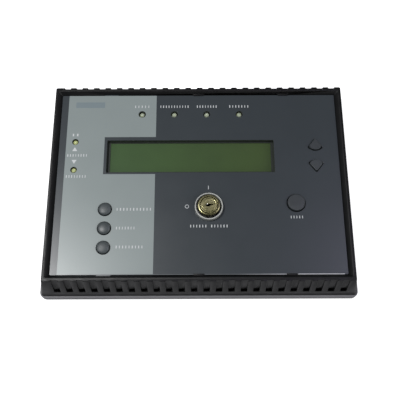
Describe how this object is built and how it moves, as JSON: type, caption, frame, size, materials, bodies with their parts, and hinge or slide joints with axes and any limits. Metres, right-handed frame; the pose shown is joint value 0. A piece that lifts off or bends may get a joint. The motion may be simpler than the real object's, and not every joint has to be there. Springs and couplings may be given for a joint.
{
  "type": "fire alarm control panel",
  "caption": "Flat wall panel with black grooved cover, two-tone grey face, recessed green text display, indicator lamps, push buttons and a brass key lock.",
  "frame": {"origin": "centre of the back face, the face that rests on the wall or the table", "axes": "+Z out of the face, along its normal; +X to the right of the face; +Y to the top of the face"},
  "size_m": [0.2674, 0.194, 0.0349],
  "materials": {
    "cover_black": "fine spark-eroded texture, satin sheen",
    "back_grey": "moulded grey, light texture",
    "plate_black": "moulded black",
    "overlay_film": "satin printed film, light grey and charcoal areas",
    "clear_window": "clear acrylic",
    "lcd_frame_black": "matt black",
    "lcd_green": "unlit yellow-green transflective display",
    "diffuser_white": "translucent white",
    "circuit_board": "green solder mask",
    "component_black": "moulded epoxy",
    "terminal_green": "moulded",
    "capacitor_sleeve": "shrunk sleeve",
    "button_grey": "moulded, slightly soft",
    "button_dark": "moulded, slightly soft",
    "led_lens": "diffused pale lens",
    "nickel": "satin nickel",
    "dull_brass": "dulled brass, turned",
    "brass": "polished brass, light tarnish",
    "zinc_steel": "zinc plated"
  },
  "bodies": {
    "root": {"bezel_frame": "cover_black", "back_plate": "back_grey", "face_plate": "plate_black", "face_overlay": "overlay_film", "display_window": "clear_window", "lcd_bezel": "lcd_frame_black", "lcd_glass": "lcd_green", "lcd_backlight": "diffuser_white", "lcd_board": "circuit_board", "display_header": "component_black", "main_board": "circuit_board", "terminal_block": "terminal_green", "microcontroller": "component_black", "voltage_regulator": "component_black", "supply_capacitor": "capacitor_sleeve", "sounder": "component_black", "key_microswitch": "component_black", "alarm_led": "led_lens", "supervisory_led": "led_lens", "security_led": "led_lens", "trouble_led": "led_lens", "audibles_on_led": "led_lens", "audibles_silenced_led": "led_lens", "acknowledge_switch": "component_black", "silence_switch": "component_black", "unsilence_switch": "component_black", "reset_switch": "component_black", "scroll_up_switch": "component_black", "scroll_down_switch": "component_black", "lock_collar": "nickel", "lock_barrel": "dull_brass", "lock_nut": "zinc_steel", "case_screw_1": "zinc_steel", "case_screw_2": "zinc_steel", "case_screw_3": "zinc_steel", "case_screw_4": "zinc_steel", "board_screw_1": "zinc_steel", "board_screw_2": "zinc_steel", "board_screw_3": "zinc_steel", "board_screw_4": "zinc_steel", "lcd_screw_1": "zinc_steel", "lcd_screw_2": "zinc_steel", "lcd_screw_3": "zinc_steel", "lcd_screw_4": "zinc_steel"},
    "acknowledge_key": {"acknowledge_button": "button_grey", "acknowledge_plunger": "component_black"},
    "silence_key": {"silence_button": "button_grey", "silence_plunger": "component_black"},
    "unsilence_key": {"unsilence_button": "button_grey", "unsilence_plunger": "component_black"},
    "reset_key": {"reset_button": "button_dark", "reset_plunger": "component_black"},
    "scroll_up_key": {"scroll_up_button": "button_dark", "scroll_up_plunger": "component_black"},
    "scroll_down_key": {"scroll_down_button": "button_dark", "scroll_down_plunger": "component_black"},
    "lock_rotor": {"lock_plug": "brass", "lock_cam": "zinc_steel", "cam_screw": "zinc_steel"}
  },
  "joints": [
    {"name": "acknowledge_press", "type": "slide", "parent": "root", "child": "acknowledge_key", "axis": [0, 0, -1], "range_m": [0, 0.001], "stiffness_N_per_m": 700, "springref_m": -0.001},
    {"name": "silence_press", "type": "slide", "parent": "root", "child": "silence_key", "axis": [0, 0, -1], "range_m": [0, 0.001], "stiffness_N_per_m": 700, "springref_m": -0.001},
    {"name": "unsilence_press", "type": "slide", "parent": "root", "child": "unsilence_key", "axis": [0, 0, -1], "range_m": [0, 0.001], "stiffness_N_per_m": 700, "springref_m": -0.001},
    {"name": "reset_press", "type": "slide", "parent": "root", "child": "reset_key", "axis": [0, 0, -1], "range_m": [0, 0.001], "stiffness_N_per_m": 700, "springref_m": -0.001},
    {"name": "scroll_up_press", "type": "slide", "parent": "root", "child": "scroll_up_key", "axis": [0, 0, -1], "range_m": [0, 0.001], "stiffness_N_per_m": 700, "springref_m": -0.001},
    {"name": "scroll_down_press", "type": "slide", "parent": "root", "child": "scroll_down_key", "axis": [0, 0, -1], "range_m": [0, 0.001], "stiffness_N_per_m": 700, "springref_m": -0.001},
    {"name": "key_turn", "type": "hinge", "parent": "root", "child": "lock_rotor", "pos_m": [0.0086, -0.0245, 0.0349], "axis": [0, 0, -1], "range_deg": [0, 90]}
  ]
}
